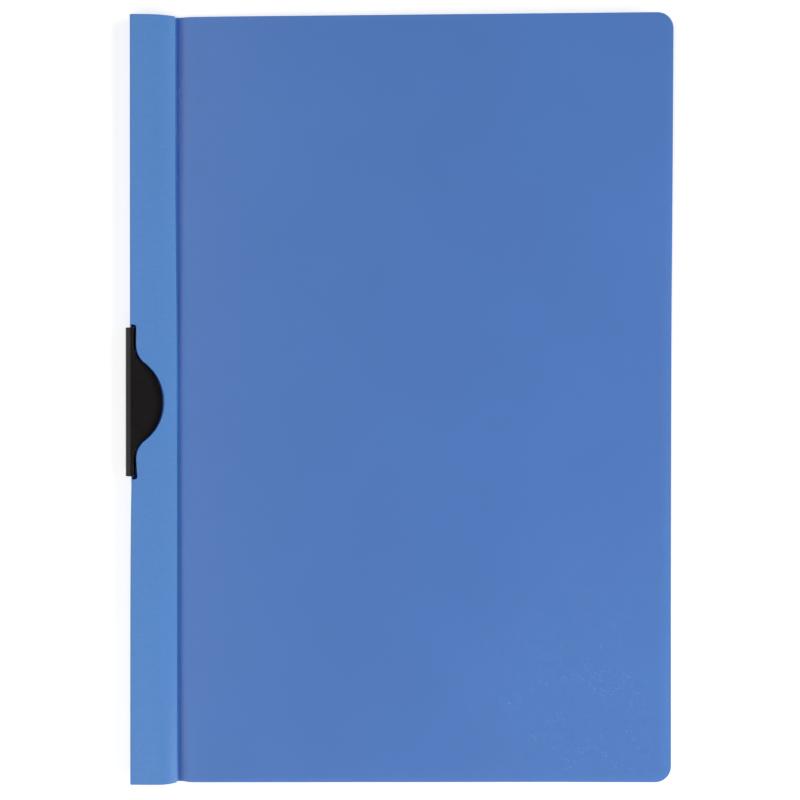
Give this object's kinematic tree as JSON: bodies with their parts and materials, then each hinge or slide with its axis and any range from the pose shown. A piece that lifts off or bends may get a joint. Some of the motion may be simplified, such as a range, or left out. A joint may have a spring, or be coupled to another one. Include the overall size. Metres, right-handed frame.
{
  "type": "clip file",
  "caption": "Clip file for loose A4 sheets: coloured back folded round the spine into a front strip, clear front cover, black spring clip that swings on the spine.",
  "frame": {"origin": "middle of the overall box in X and Y, on the plane that the closed file rests on", "axes": "+Z out of the front cover, +Y along the spine towards the top of the page, +X from the spine to the free edge"},
  "size_m": [0.2206, 0.31, 0.0052],
  "materials": {
    "coloured_film": "satin",
    "clear_film": "gloss",
    "black_steel": "satin"
  },
  "bodies": {
    "back": {"back_cover": "coloured_film", "spine_fold": "coloured_film"},
    "strip": {"front_strip": "coloured_film", "cover_margin": "clear_film"},
    "cover": {"front_cover": "clear_film"},
    "clip": {"swing_clip": "black_steel"}
  },
  "joints": [
    {"name": "strip_lift", "type": "hinge", "parent": "back", "child": "strip", "pos_m": [-0.1071, 0, 0.0052], "axis": [0, -1, 0], "range_deg": [0, 45]},
    {"name": "cover_open", "type": "hinge", "parent": "strip", "child": "cover", "pos_m": [-0.0888, 0, 0.0009], "axis": [0, -1, 0], "range_deg": [0, 135]},
    {"name": "clip_swing", "type": "hinge", "parent": "back", "child": "clip", "pos_m": [-0.10795, -0.001, 0.0026], "axis": [0, -1, 0], "range_deg": [0, 195]}
  ]
}
